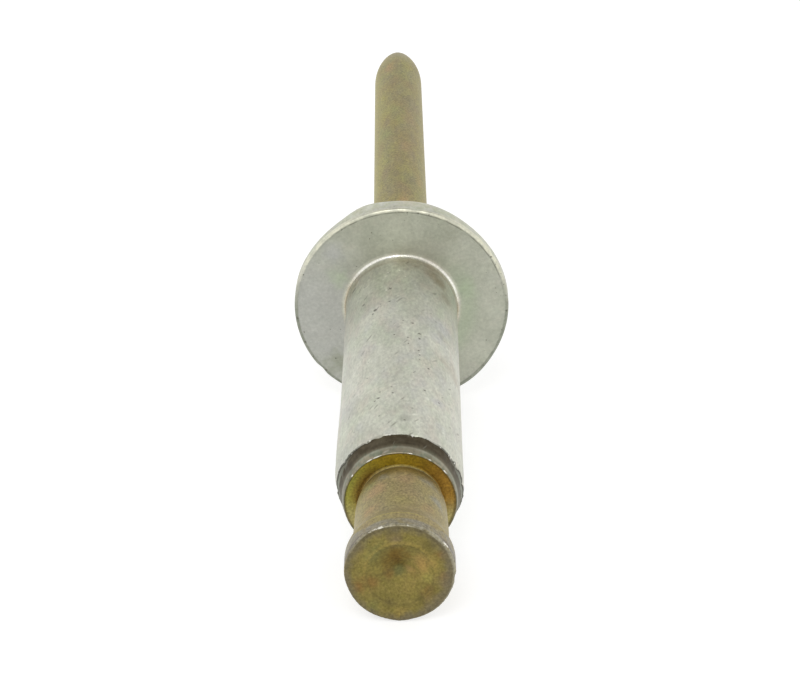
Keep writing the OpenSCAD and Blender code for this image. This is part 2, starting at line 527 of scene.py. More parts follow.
def tone(code):
    # linear colour of a hex code
    values = [int(code[i:i + 2], 16) / 255 for i in (0, 2, 4)]
    return [v / 12.92 if v <= 0.04045 else ((v + 0.055) / 1.055) ** 2.4 for v in values] + [1]


def put(tree, kind, sockets=None, **settings):
    # adds a node, whose sockets take wires, sockets of other nodes or plain values
    item = tree.nodes.new("ShaderNode" + kind)
    for name, value in settings.items():
        setattr(item, name, value)
    for name, value in (sockets or {}).items():
        value = value.socket if isinstance(value, Wire) else value
        if isinstance(value, bpy.types.NodeSocket):
            tree.links.new(value, item.inputs[name])
        else:
            item.inputs[name].default_value = value
    return item


def treeOf(values):
    return next(value.tree for value in values if isinstance(value, Wire))


def wire(kind, sockets, output=0, **settings):
    # one output of a new node, in the tree of the wires that it takes
    return Wire(put(treeOf(sockets.values()), kind, sockets, **settings).outputs[output])


def calc(operation, *values):
    return wire("Math", dict(enumerate(values)), operation=operation)


def ease(value, low, high):
    # 0 below low, 1 above high, smooth between
    return wire("MapRange", {"Value": value, "From Min": low, "From Max": high},
                interpolation_type="SMOOTHSTEP")


def blend(factor, first, second, mode="MIX"):
    # mixes two colours, each a wire or a hex code
    first, second = [tone(color) if isinstance(color, str) else color for color in (first, second)]
    return wire("Mix", {0: factor, 6: first, 7: second}, 2, data_type="RGBA", blend_type=mode)


def makeGroup(name, build, inputs, outputs):
    # a node group, built by a function of its inputs; the function that comes back adds it to a material
    group = bpy.data.node_groups.new(name, "ShaderNodeTree")
    for label, value in inputs.items():
        kind = "NodeSocketVector" if value is None else "NodeSocketFloat"
        socket = group.interface.new_socket(label, in_out="INPUT", socket_type=kind)
        if value is not None:
            socket.default_value = value
    for label in outputs:
        group.interface.new_socket(label, in_out="OUTPUT", socket_type="NodeSocketFloat")
    start = group.nodes.new("NodeGroupInput").outputs
    end = group.nodes.new("NodeGroupOutput").inputs
    for label, made in zip(outputs, build(*[Wire(start[label]) for label in inputs])):
        group.links.new(made.socket, end[label])

    def add(*values):
        item = put(treeOf(values), "Group", dict(enumerate(values)), node_tree=group)
        made = [Wire(item.outputs[label]) for label in outputs]
        return made if len(made) > 1 else made[0]

    return add


def moved(spot, shift):
    return wire("VectorMath", {0: spot, 1: shift}, operation="ADD")


def placeNodes(spot):
    # where a point lies on the turned shape: radius, height and clock angle, 0 at the top
    x, y, z = [Wire(part) for part in put(spot.tree, "SeparateXYZ", {0: spot}).outputs]
    return calc("SQRT", x * x + y * y), z, calc("ARCTAN2", x, y * -1.0)


def bandNodes(value, low, high, soft):
    # 1 between two values, with soft ends
    return [ease(value, low - soft, low + soft) - ease(value, high - soft, high + soft)]


def blotchNodes(spot, size, share, soft, shift):
    # soft uneven patches of one size, of which share is how much they cover
    noise = wire("TexNoise", {"Vector": moved(spot, shift), "Scale": 1.0 / size, "Detail": 3.0,
                              "Roughness": 0.55})
    wide = calc("MULTIPLY_ADD", 1.0 - share - 0.5, 0.45, 0.5)
    return [ease(noise, wide - soft, wide + soft)]


def speckNodes(spot, spacing, size, share, shift):
    # scattered small dots: spacing apart, up to size across, in share of the places
    cells = put(spot.tree, "TexVoronoi", {"Vector": moved(spot, shift), "Scale": 1.0 / spacing}).outputs
    chance = put(spot.tree, "SeparateColor", {0: Wire(cells["Color"])}).outputs
    reach = size * (Wire(chance[1]) + 0.4)
    dot = 1.0 - ease(Wire(cells["Distance"]) * spacing, reach * 0.3, reach)
    return [dot * (Wire(chance[0]) < share)]


def grainNodes(spot, size, amount):
    # fine unevenness about 1, for colour and gloss, and its height for bump
    noise = wire("TexNoise", {"Vector": spot, "Scale": 1.0 / size, "Detail": 4.0, "Roughness": 0.6})
    return calc("MULTIPLY_ADD", (noise - 0.5) * 2.0, amount, 1.0), noise


def markNodes(spot, centre, size, ragged, core):
    # one mark or stain about a spot, its outline made ragged by a noise that many marks share
    gap = wire("VectorMath", {0: spot, 1: centre}, "Value", operation="DISTANCE")
    return [1.0 - ease(gap / size + ragged, core, 1.0)]


turnedPlace = makeGroup("turnedPlace", placeNodes, {"Vector": None}, ["Radius", "Height", "Clock"])
band = makeGroup("band", bandNodes, {"Value": 0.0, "Low": 0.0, "High": 1.0, "Soft": 0.1}, ["Mask"])
blotch = makeGroup("blotch", blotchNodes, {"Vector": None, "Size": 1.0, "Share": 0.5, "Soft": 0.15,
                                           "Shift": 0.0}, ["Mask"])
speck = makeGroup("speck", speckNodes, {"Vector": None, "Spacing": 1.0, "Size": 0.1, "Share": 0.3,
                                        "Shift": 0.0}, ["Mask"])
grain = makeGroup("grain", grainNodes, {"Vector": None, "Size": 0.1, "Amount": 0.05}, ["Value", "Height"])
mark = makeGroup("mark", markNodes, {"Vector": None, "Spot": None, "Size": 0.2, "Ragged": 0.0,
                                     "Core": 0.35}, ["Mask"])


def newMaterial(name):
    material = bpy.data.materials.new(name)
    material.use_nodes = True
    return material, material.node_tree, material.node_tree.nodes["Principled BSDF"]


def uprightSpot(tree, leaning):
    # the point in mm on the upright rivet, with the head's face at height 0
    where = Wire(put(tree, "TexCoord").outputs["Object"])
    spot = wire("Mapping", {"Vector": where, "Location": headFace, "Rotation": (tilt - math.pi / 2, 0, 0),
                            "Scale": (mm, mm, mm)}, vector_type="TEXTURE")
    return wire("VectorRotate", {0: spot, "Center": (0, 0, place["tail"]), "Angle": math.radians(leaning)},
                rotation_type="Y_AXIS")


def stretched(spot, along):
    # the same point with its height shortened, for patches that run along the rivet
    return wire("VectorMath", {0: spot, 1: (1, 1, along)}, operation="MULTIPLY")


def unrolled(clock, height, degrees, along):
    # the shank's surface laid flat, turned and shortened, for scratches that run at an angle
    flat = wire("CombineXYZ", {0: clock * place["shankR"], 1: height})
    turned = wire("VectorRotate", {0: flat, "Angle": math.radians(-degrees)}, rotation_type="Z_AXIS")
    return wire("VectorMath", {0: turned, 1: (along, 1, 1)}, operation="MULTIPLY")


def raggedness(spot, size, amount):
    return (wire("TexNoise", {"Vector": spot, "Scale": 1 / size, "Detail": 3.0}) - 0.5) * amount


def addMarks(spot, marks):
    # all the marks of a list of (radius, height, clock, size) in one mask
    ragged = raggedness(spot, 0.08, 1.6)
    total = 0.0
    for radius, height, clock, size in marks:
        total = calc("MAXIMUM", total, mark(spot, spotAt(radius, height, clock), size / 2, ragged))
    return total


def addStains(spot, color, stains, tones, along=1):
    # soft coloured patches, each (tone, radius, height, clock, size, amount), longer along the rivet
    # where along is below 1
    where = stretched(spot, along)
    ragged = raggedness(where, 0.5, 1.2)
    for name, radius, height, clock, size, amount in stains:
        stain = mark(where, spotAt(radius, height * along, clock), size, ragged, 0.0)
        color = blend(stain * amount, color, tones[name])
    return color


def joinShader(shader, metal, color, gloss, bumps):
    # ends a finish: its colour, gloss and bumps go to the shader
    shader.inputs["Metallic"].default_value = metal
    bump = wire("Bump", {"Strength": 0.5, "Distance": 0.02 * mm, "Height": bumps})
    for name, value in (("Base Color", color), ("Roughness", gloss), ("Normal", bump)):
        value.tree.links.new(value.socket, shader.inputs[name])


# ---- clear zinc plate on the sleeve
# several of these tones are painted light and shade: the dark cone and its lighter sides, the rim's dark
# parts, the glints and highlights, and the stem's reflection on the dome
clearZincSet = {
    "plate": "cccdbe", "dull": "babbac", "green": "bac5aa", "pink": "cbbcb0", "violet": "b6b5b8",
    "pale": "d4d5c6", "flange": "acae9f", "flangeLight": "c0c2b3", "flangeDull": "999c8b",
    "rolledGrey": "6c6450", "glow": "d0b494", "flangeGreen": "a9b69a", "flangeViolet": "b0b0b0",
    "rolled": "4a4130", "rolledLight": "595140", "rolledSide": "8f907d", "lip": "80846f",
    "lipLight": "948c76", "lipEdge": "a79d84", "speck": "66655a", "rimLow": "84887a", "sideHighlight": "94988a",
    "scratch": "7c7a6c", "glint": "f4f2e8", "nick": "35322c", "cream": "e4e2cc", "shoulder": "b4b697",
    "shade": "948468", "fillet": "fbf9f0", "filletSide": "b8ae98",
    "metal": 0.75, "gloss": 0.4,
}
# (radius, height, clock, size) of the larger pits and nicks, in mm and degrees
shankMarks = [
    (3.22, 27.3, -58, 0.6), (3.2, 24.6, -11.5, 0.32), (3.2, 23.9, -41, 0.24), (3.2, 22.9, -11.5, 0.22),
    (3.2, 19.1, 18, 0.24), (3.2, 20.2, 11.5, 0.2), (3.2, 18.4, 6.5, 0.18), (3.2, 18.7, -6.5, 0.16),
    (3.2, 22.4, -27, 0.3), (3.2, 22.0, -29, 0.2), (3.2, 18.5, 18, 0.2), (3.2, 17.1, 17, 0.18),
    (3.2, 16.6, 18, 0.16), (3.2, 16.1, 18, 0.14), (3.2, 17.7, 7, 0.14), (3.2, 15.4, 27, 0.22),
    (3.2, 11.9, -21, 0.26), (3.2, 11.7, -24, 0.16), (3.2, 12.1, -7, 0.14), (3.2, 12.8, 23, 0.16),
    (3.2, 12.2, 38, 0.14), (3.2, 9.2, 4, 0.16), (3.2, 14.6, -33, 0.14), (3.2, 20.4, 2, 0.12),
    (3.2, 9.6, -46, 0.14), (3.2, 10.6, 52, 0.14),
]
# (radius, height, clock, size) of the bright scrapes on the shank, painted as glints (painted highlights)
shankGlints = [
    (3.2, 26.7, -14, 0.16), (3.2, 26.3, -15.5, 0.18), (3.2, 25.9, -19, 0.14), (3.2, 26.8, -2, 0.14),
    (3.2, 24.5, -15.5, 0.22), (3.2, 24.3, -13.5, 0.14), (3.2, 26.0, 4, 0.12),
]
flangeMarks = [
    (5.95, 28.63, 3, 0.13), (5.98, 28.63, 9, 0.14), (6.02, 28.63, 15, 0.13), (6.05, 28.63, 58, 0.16),
    (6.05, 28.63, 63, 0.12), (6.1, 28.63, 83, 0.16), (5.9, 28.63, -106, 0.14), (6.0, 28.63, -70, 0.12),
    (5.1, 28.63, -131, 0.12), (5, 28.63, -20, 0.1), (4.7, 28.63, -23, 0.08), (6.1, 28.63, 128, 0.13),
    (5.95, 28.63, -35, 0.12), (6.0, 28.63, 104, 0.13), (3.65, 28.63, -45, 0.1), (6.08, 28.63, -97, 0.16),
    (6.05, 28.63, -112, 0.18), (6.08, 28.63, -122, 0.14), (6.06, 28.63, -133, 0.2),
    (6.08, 28.63, 92, 0.18), (6.06, 28.63, 76, 0.12), (6.08, 28.63, 138, 0.16),
]
# (tone, radius, height, clock, size, amount) of the larger stains, among them patches of painted shade and
# painted light
sleeveStains = [
    ("speck", 3.2, 9.4, 5, 0.45, 0.35), ("pale", 3.2, 25.8, -44, 1.6, 1.0),
    ("pale", 3.2, 21.6, -33, 1.4, 0.6), ("dull", 3.2, 15.2, -27, 1.3, 0.45),
    ("dull", 3.2, 10.7, 66, 1.2, 0.45), ("pale", 3.2, 26.2, -17, 0.5, 0.7),
    ("shade", 3.2, 27.2, 40, 1.2, 0.5), ("shade", 3.2, 25.6, 52, 0.9, 0.4),
    # the warm patch on the dome next to the stem, on the next line, is a painted reflection of the stem
    ("speck", 3.2, 20.2, 44, 0.6, 0.3), ("glow", 5.85, 29.9, 5, 1.2, 0.35),
    ("shade", 3.2, 17.3, 60, 1.6, 0.35), ("dull", 3.2, 8.5, -70, 1.2, 0.5),
    # the two patches on the next line that lighten the flange's face near the shank are painted light
    ("flangeLight", 4.7, 28.63, 0, 2.0, 0.8), ("flangeLight", 4.4, 28.63, 40, 1.4, 0.3),
    ("flangeDull", 5.2, 28.63, -135, 1.4, 0.8), ("flangeDull", 5.2, 28.63, 32, 1.0, 0.5),
    ("violet", 3.2, 21.3, 44, 1.3, 0.55), ("violet", 3.2, 19.6, 40, 0.8, 0.5),
    ("violet", 3.2, 12.2, 38, 0.7, 0.5), ("shade", 3.2, 27.6, 28, 1.1, 0.5),
    ("shade", 3.2, 26.8, 42, 0.9, 0.5), ("shade", 3.2, 27.8, 4, 1.2, 0.45),
    ("shade", 3.2, 27.4, -66, 0.7, 0.4), ("flangeGreen", 4.1, 28.63, -62, 0.9, 0.6),
    ("flangeGreen", 3.9, 28.63, 72, 1.0, 0.6), ("flangeViolet", 5.2, 28.63, -48, 1.0, 0.5),
]
# patches on the tail's cone, in the tones of its painted shade
tailStains = [
    ("rolledGrey", 3.04, 7.5, -19, 0.6, 0.5), ("rolled", 2.96, 7.15, -57, 0.5, 0.8),
    ("rolled", 2.95, 7.3, -78, 0.4, 0.4), ("rolled", 3.0, 7.5, 43, 0.6, 0.6),
    ("rolledGrey", 2.85, 6.8, 31, 0.35, 0.5),
]
# (clock, size) of the nicks and painted glints on the tail's edge, and of the painted glints on its lip
tailNicks = [(-44, 0.12), (-31, 0.16), (-19, 0.12), (24, 0.1), (60, 0.12), (68, 0.2), (78, 0.12), (87, 0.16)]
tailGlints = [(-28, 0.14), (-50, 0.1), (11, 0.18), (40, 0.08), (52, 0.11), (56, 0.15), (62, 0.14), (-9, 0.08)]
lipGlints = [(11, 0.3), (-24, 0.5), (-33, 0.4), (53, 0.35), (32, 0.2), (-58, 0.2)]


def makeClearZinc():
    c = clearZincSet
    material, tree, shader = newMaterial("clearZinc")
    spot = uprightSpot(tree, lean["sleeve"])
    radius, height, clock = turnedPlace(spot)
    aside = abs(clock)
    flow = stretched(spot, 0.5)
    seat, tail, lipEnd = place["seat"], edgeHeight(0), place["lipEnd"]
    shankR, lipRootR, rimR = place["shankR"], sleeveSet["lipRootR"], place["flangeR"]

    # cloudy plate with faint tints
    color = blend(blotch(flow, 1.6, 0.45, 0.2), c["plate"], c["dull"])
    for name, size, share, shift, amount in (("green", 1.3, 0.35, 11.0, 0.35), ("pink", 0.9, 0.35, 23.0, 0.3),
                                             ("violet", 1.2, 0.3, 37.0, 0.3)):
        color = blend(blotch(flow, size, share, 0.12, shift) * amount, color, c[name])

    # face of the flange round the shank, darker than the plate, partly a duller finish and partly painted
    # shade, greener to the right and bluer to the left
    under = band(height, seat - 0.04, seat + 0.04, 0.02) * ease(radius, shankR + 0.15, shankR + 0.3)
    flange = blend(blotch(spot, 1.4, 0.5, 0.25, 5.0) * 0.4, c["flange"], color)
    ringNear = band(radius, 3.3, 4.3, 0.5)
    flange = blend(ease(clock, 0.3, 1.4) * 0.5 * ringNear, flange, c["flangeGreen"])
    flange = blend(ease(clock, -0.4, -1.5) * 0.5, flange, c["flangeViolet"])
    color = blend(under, color, flange)

    # painted brownish shade on the shank near the seat, and a painted highlight on the fillet, brightest on
    # top
    nearShank = radius < shankR + 0.3
    nearSeat = band(height, seat - 0.7, seat - 0.2, 0.12) * nearShank
    color = blend(nearSeat * (0.12 + ease(clock, -0.6, 0.3) * 0.33), color, c["shade"])
    filletHighlight = blend(ease(clock, -1.25, -0.7), c["filletSide"], c["fillet"])
    filletHighlight = blend(ease(clock, 1.2, 1.6), filletHighlight, c["filletSide"])
    filletHighlight = blend(band(clock, 0.2, 0.8, 0.2) * 0.45, filletHighlight, c["filletSide"])
    onFillet = band(height, seat - 0.12, seat - 0.01, 0.02) * nearShank
    onFillet = onFillet * (1.0 - band(clock, -0.15, 0.2, 0.2) * 0.5)
    color = blend(onFillet * 0.9, color, filletHighlight)
    underFillet = band(height + raggedness(spot, 0.6, 0.2), seat - 0.75, seat - 0.5, 0.12) * nearShank
    color = blend(underFillet * band(clock, -1.1, -0.3, 0.2) * 0.4, color, c["shade"])
    color = addStains(spot, color, sleeveStains, c)

    # rolled tail: the cone painted dark above, as painted shade over a brown-violet tint, and lighter grey at
    # the sides as a painted reflection, with a painted highlight as a light stripe by the edge there, and a
    # lighter lip whose end edge is a painted highlight
    edgeAt = calc("MULTIPLY_ADD", 1.0 - calc("COSINE", clock), sleeveSet["leanBack"] / 2, tail)
    fromEdge = height - edgeAt
    onCone = ease(radius, lipRootR - 0.02, lipRootR + 0.02) * ease(fromEdge, 0.01, -0.01)
    streaks = blotch(stretched(spot, 2), 0.45, 0.45, 0.2, 3.0)
    rolled = blend(streaks, c["rolled"], c["rolledLight"])
    toSide = ease(abs(clock + 0.1), 1.0, 2.8) * (1.0 - streaks * 0.5)
    color = blend(onCone, color, blend(toSide, rolled, c["rolledSide"]))
    atSide = ease(aside, 0.7, 1.5)
    sideHighlight = band(fromEdge + raggedness(spot, 0.3, 0.15), -0.1 - atSide * 0.3, -0.05, 0.05)
    color = blend(atSide * sideHighlight * (radius > lipRootR) * 0.75, color, c["sideHighlight"])
    lip = blend(blotch(spot, 0.4, 0.5, 0.1, 19.0), c["lip"], c["lipLight"])
    lipEdge = blend(blotch(spot, 0.35, 0.5, 0.12, 61.0), c["lipEdge"], c["lip"])
    lip = blend(height < lipEnd + 0.05, lip, lipEdge)
    lip = blend(ease(aside, 0.6, 1.2) * 0.5, lip, c["rolledGrey"])
    onLip = ease(radius, lipRootR + 0.1, lipRootR - 0.07) * (height < lipEnd + 1.3)
    color = blend(onLip, color, lip)
    color = addStains(spot, color, tailStains, c)

    # dark ragged line along the tail's edge at its sides
    edgeLine = band(fromEdge + raggedness(spot, 0.2, 0.12), -0.05, 0.05, 0.02) * ease(aside, 0.3, 0.9)
    color = blend(edgeLine * (radius > shankR - 0.3) * 0.75, color, c["nick"])

    # nicks on the tail's edge, and painted glints, painted highlights, on it and on its lip
    onTail = lambda marks: addMarks(spot, [(*edgeSpot(turn), turn, size) for turn, size in marks])
    color = blend(onTail(tailNicks), color, c["nick"])
    lipBright = addMarks(spot, [(lipRootR - 0.12, lipEnd, turn, size) for turn, size in lipGlints])
    bright = calc("MAXIMUM", onTail(tailGlints), lipBright * (height < lipEnd + 0.03) * 0.8)
    color = blend(bright, color, c["glint"])

    # rim: a dark line just inside its front edge above, painted shade at the sides and below, and a painted
    # highlight as a bright line on it
    atSeat = band(height, seat - 0.05, seat + 0.14, 0.02)
    darkLine = band(radius, rimR - 0.22, rimR - 0.16, 0.02) * ease(abs(clock - 0.3), 1.4, 0.7)
    color = blend(atSeat * darkLine * blotch(spot, 0.6, 0.7, 0.15, 71.0) * 0.6, color, c["speck"])
    flecked = blotch(spot, 0.5, 0.5, 0.15, 83.0)
    rimLow = ease(aside, 1.1, 1.7) * (0.75 + flecked * 0.25)
    rimDark = ease(radius + raggedness(spot, 0.25, 0.1), rimR - 0.19, rimR - 0.11) * (height < seat + 0.5)
    color = blend(rimLow * rimDark, color, c["rimLow"])
    brightLine = atSeat * ease(radius + raggedness(spot, 0.25, 0.12), rimR - 0.15, rimR - 0.09)
    brightLine = brightLine * (0.45 + flecked * 0.55) * (0.3 + ease(aside, 1.6, 0.9) * 0.6)
    color = blend(brightLine * (1.0 - rimLow), color, c["cream"])

    # yellowish mottle on the dome's shoulder, behind the rim
    shoulder = ease(height, seat + 0.12, seat + 0.3) * ease(radius, 5.2, 5.9)
    color = blend(shoulder * blotch(spot, 0.4, 0.5, 0.15, 17.0) * 0.6, color, c["shoulder"])

    # scratches, streaks and scrapes painted as glints (painted highlights), specks and pits
    onShank = radius < shankR + 0.05
    scratches = speck(unrolled(clock, height, 57, 0.22), 0.3, 0.07, 0.35)
    glintStreaks = speck(unrolled(clock, height, 20, 0.3), 0.4, 0.09, 0.2, 4.0)
    color = blend(scratches * onShank * 0.6, color, c["scratch"])
    color = blend(glintStreaks * onShank * 0.2, color, c["glint"])
    color = blend(addMarks(spot, shankGlints) * 0.7, color, c["glint"])
    dots = speck(spot, 0.6, 0.07, 0.35)
    small = speck(spot, 0.3, 0.045, 0.3, 9.0)
    pits = calc("MAXIMUM", addMarks(spot, shankMarks), addMarks(spot, flangeMarks))
    color = blend(calc("MAXIMUM", calc("MAXIMUM", dots, small) * 0.55, pits * 0.85), color, c["speck"])
    fine, fineHeight = grain(flow, 0.15, 0.42 - (radius > shankR + 0.15) * 0.16)
    coarse = grain(flow, 0.5, 0.1)[0]
    color = blend(1.0, color, fine * coarse, "MULTIPLY")
    gloss = coarse * c["gloss"] + onCone * 0.15 - calc("MAXIMUM", onFillet, bright) * 0.2
    joinShader(shader, c["metal"], color, gloss, fineHeight * 0.4 - calc("MAXIMUM", dots, pits))
    return material


# ---- yellow chromated zinc on the mandrel
# several of these tones are painted light and shade: the stem's right side, the ring's shaded parts, the
# dimple's upper wall and rim, the lighter patches of the face, and the glints and highlights on the face's
# edge and the head's back edge
yellowZincSet = {
    "khaki": "998f57", "brown": "918256", "yellow": "a29a50", "pink": "a0885c", "green": "8f965e",
    "grey": "88806a", "plug": "9c8b62", "warm": "b89468", "dusk": "7d7256", "leftSide": "a2994a",
    "rightSide": "948a46", "face": "7f743a", "faceOrange": "7e6234", "faceGreen": "747644",
    "faceDark": "625830", "rim": "6c644e", "mauve": "7a6a50", "blush": "a0804c", "ringLeft": "989440",
    "ringTop": "a28a26", "ringRight": "98742c", "ringSide": "a89e68", "plugLight": "b5a47a",
    "faceTeal": "666a40", "ringInner": "84692c", "bead": "86763e", "pinker": "ad9068", "bluish": "8e8f86",
    "silver": "8e897c", "fringe": "6e6456", "sheen": "a8a38e", "glint": "ece8da", "back": "a89a56",
    "dark": "4e4428", "deepShade": "684c12", "light": "9a8648",
    "metal": 0.75, "gloss": 0.45,
}
# (tone, radius, height, clock, size, amount) of the larger patches, in mm and degrees
faceStains = [
    ("face", 1.25, 0.1, -80, 0.8, 0.6), ("faceGreen", 1.6, 0, -45, 0.9, 0.6),
    # the light patches on this line and the next are painted light
    ("faceGreen", 2.1, 0, -145, 0.6, 0.5), ("light", 1.2, 0.15, 68, 0.9, 0.9),
    ("light", 0.8, 0.3, 150, 0.8, 0.3), ("light", 2.13, 0, 180, 0.6, 0.7),
    ("yellow", 1.4, 0.1, 100, 0.5, 0.5), ("warm", 0.45, 0.4, 80, 0.35, 0.3),
    # the two patches on the next line are painted shade on the upper wall of the dimple
    ("deepShade", 0.85, 0.3, -24, 1.15, 0.6), ("deepShade", 0.95, 0.3, 0, 0.8, 0.5),
    ("faceTeal", 0.12, 0.5, 200, 0.5, 0.8), ("faceOrange", 1.5, 0, -110, 0.7, 0.8),
    ("faceOrange", 2.05, 0, -106, 0.6, 0.9), ("faceOrange", 0.6, 0.3, -110, 0.45, 0.7),
    ("faceOrange", 2.2, 0, 62, 0.5, 0.8), ("faceOrange", 1.65, 0, 125, 0.6, 0.7),
    ("blush", 1.15, 0.2, 62, 0.75, 0.6), ("blush", 0.75, 0.3, 90, 0.5, 0.4),
    ("mauve", 1.95, 0, -6, 0.6, 0.7), ("mauve", 2.3, 0, -55, 0.5, 0.5), ("mauve", 2.2, 0, 100, 0.8, 0.8),
    ("mauve", 2.3, 0, 130, 0.8, 0.8), ("mauve", 2.4, 0, -172, 0.35, 0.5),
    ("faceDark", 2.2, 0, 42, 0.7, 0.7), ("faceDark", 1.85, 0, 120, 0.5, 0.5),
    ("faceDark", 1.6, 0, -162, 0.55, 0.7), ("faceDark", 1.6, 0, 142, 0.4, 0.6),
    ("faceDark", 2.3, 0, -8, 0.6, 0.6), ("faceDark", 0.75, 0.3, -98, 0.22, 0.7),
    ("faceDark", 0.5, 0.4, -94, 0.2, 0.7), ("faceDark", 0.95, 0.2, -101, 0.22, 0.7),
    ("faceDark", 0.85, 0.3, -118, 0.5, 0.4), ("faceDark", 0.15, 0.5, 180, 0.35, 0.4),
    ("faceOrange", 2.12, 0, 93, 0.45, 0.6),
]
stemStains = [
    ("warm", 1.9, 39.8, 8, 0.9, 0.6), ("dusk", 1.9, 45, -14, 0.8, 0.6),
    ("dusk", 1.9, 43.7, 24, 0.8, 0.55), ("warm", 1.9, 44.4, 50, 0.6, 0.5),
    ("pink", 1.9, 49.4, 12, 0.9, 0.6), ("dusk", 1.9, 48.6, 30, 0.6, 0.5),
    ("green", 1.9, 52, -40, 1.0, 0.6), ("yellow", 1.9, 55.5, -42, 0.9, 0.7),
    ("pink", 1.9, 54.8, 22, 0.9, 0.6), ("dusk", 1.9, 57.8, 18, 0.7, 0.6),
    ("warm", 1.7, 64.2, -28, 0.7, 0.5), ("yellow", 1.9, 59, -45, 0.9, 0.5),
    ("grey", 1.9, 42.5, -25, 0.9, 0.5), ("dusk", 1.9, 61, 35, 0.9, 0.4),
    ("yellow", 1.9, 47, -45, 0.8, 0.5),
]
plugStains = [
    ("pinker", 2.3, 4.4, -32, 1.0, 0.75), ("bluish", 2.27, 5.3, 38, 0.7, 0.6),
    ("bluish", 2.3, 3.9, 50, 0.7, 0.6), ("dusk", 2.2, 5.9, -16, 0.35, 0.5),
    ("dusk", 2.2, 5.7, 34, 0.35, 0.5), ("plugLight", 2.25, 5.5, 0, 1.0, 0.5),
    ("warm", 2.35, 2.7, -38, 0.6, 0.4), ("pinker", 2.3, 5.0, 8, 0.7, 0.5),
    ("khaki", 2.35, 3.0, 5, 1.0, 0.7), ("plug", 2.3, 3.6, 12, 0.8, 0.7),
    ("bluish", 2.25, 5.5, -22, 0.5, 0.5), ("green", 2.27, 5.2, -40, 0.6, 0.5),
    ("pink", 2.35, 2.6, 35, 0.7, 0.6),
]
# (radius, height, clock, size) of the small marks on the face and on the plug's root
faceMarks = [
    (1.54, 0, -162, 0.26), (2.42, 0, 95, 0.22), (1.62, 0, 158, 0.18), (1.6, 0, -140, 0.16),
    (1.61, 0, 15, 0.16), (1.7, 0, -38, 0.16), (1.78, 0, 47, 0.16), (1.66, 0, 176, 0.2),
    (1.7, 0, -52, 0.12), (1.62, 0, 2, 0.12), (2.3, 0, 40, 0.12), (2.2, 0, -40, 0.12),
    (2.42, 0, 150, 0.14), (1.0, 0.2, -100, 0.14), (2.2, 5.9, -4, 0.16), (2.22, 5.8, -10, 0.12),
    (2.26, 5.5, 30, 0.14), (2.26, 5.3, -33, 0.12), (2.28, 4.9, 38, 0.14), (2.3, 4.4, -12, 0.12),
]
# (clock, size) of the painted glints on the edge of the face
headGlints = [(-21, 0.42), (-27, 0.36), (-33, 0.25), (53, 0.28), (57, 0.2), (-42, 0.15), (8, 0.12)]


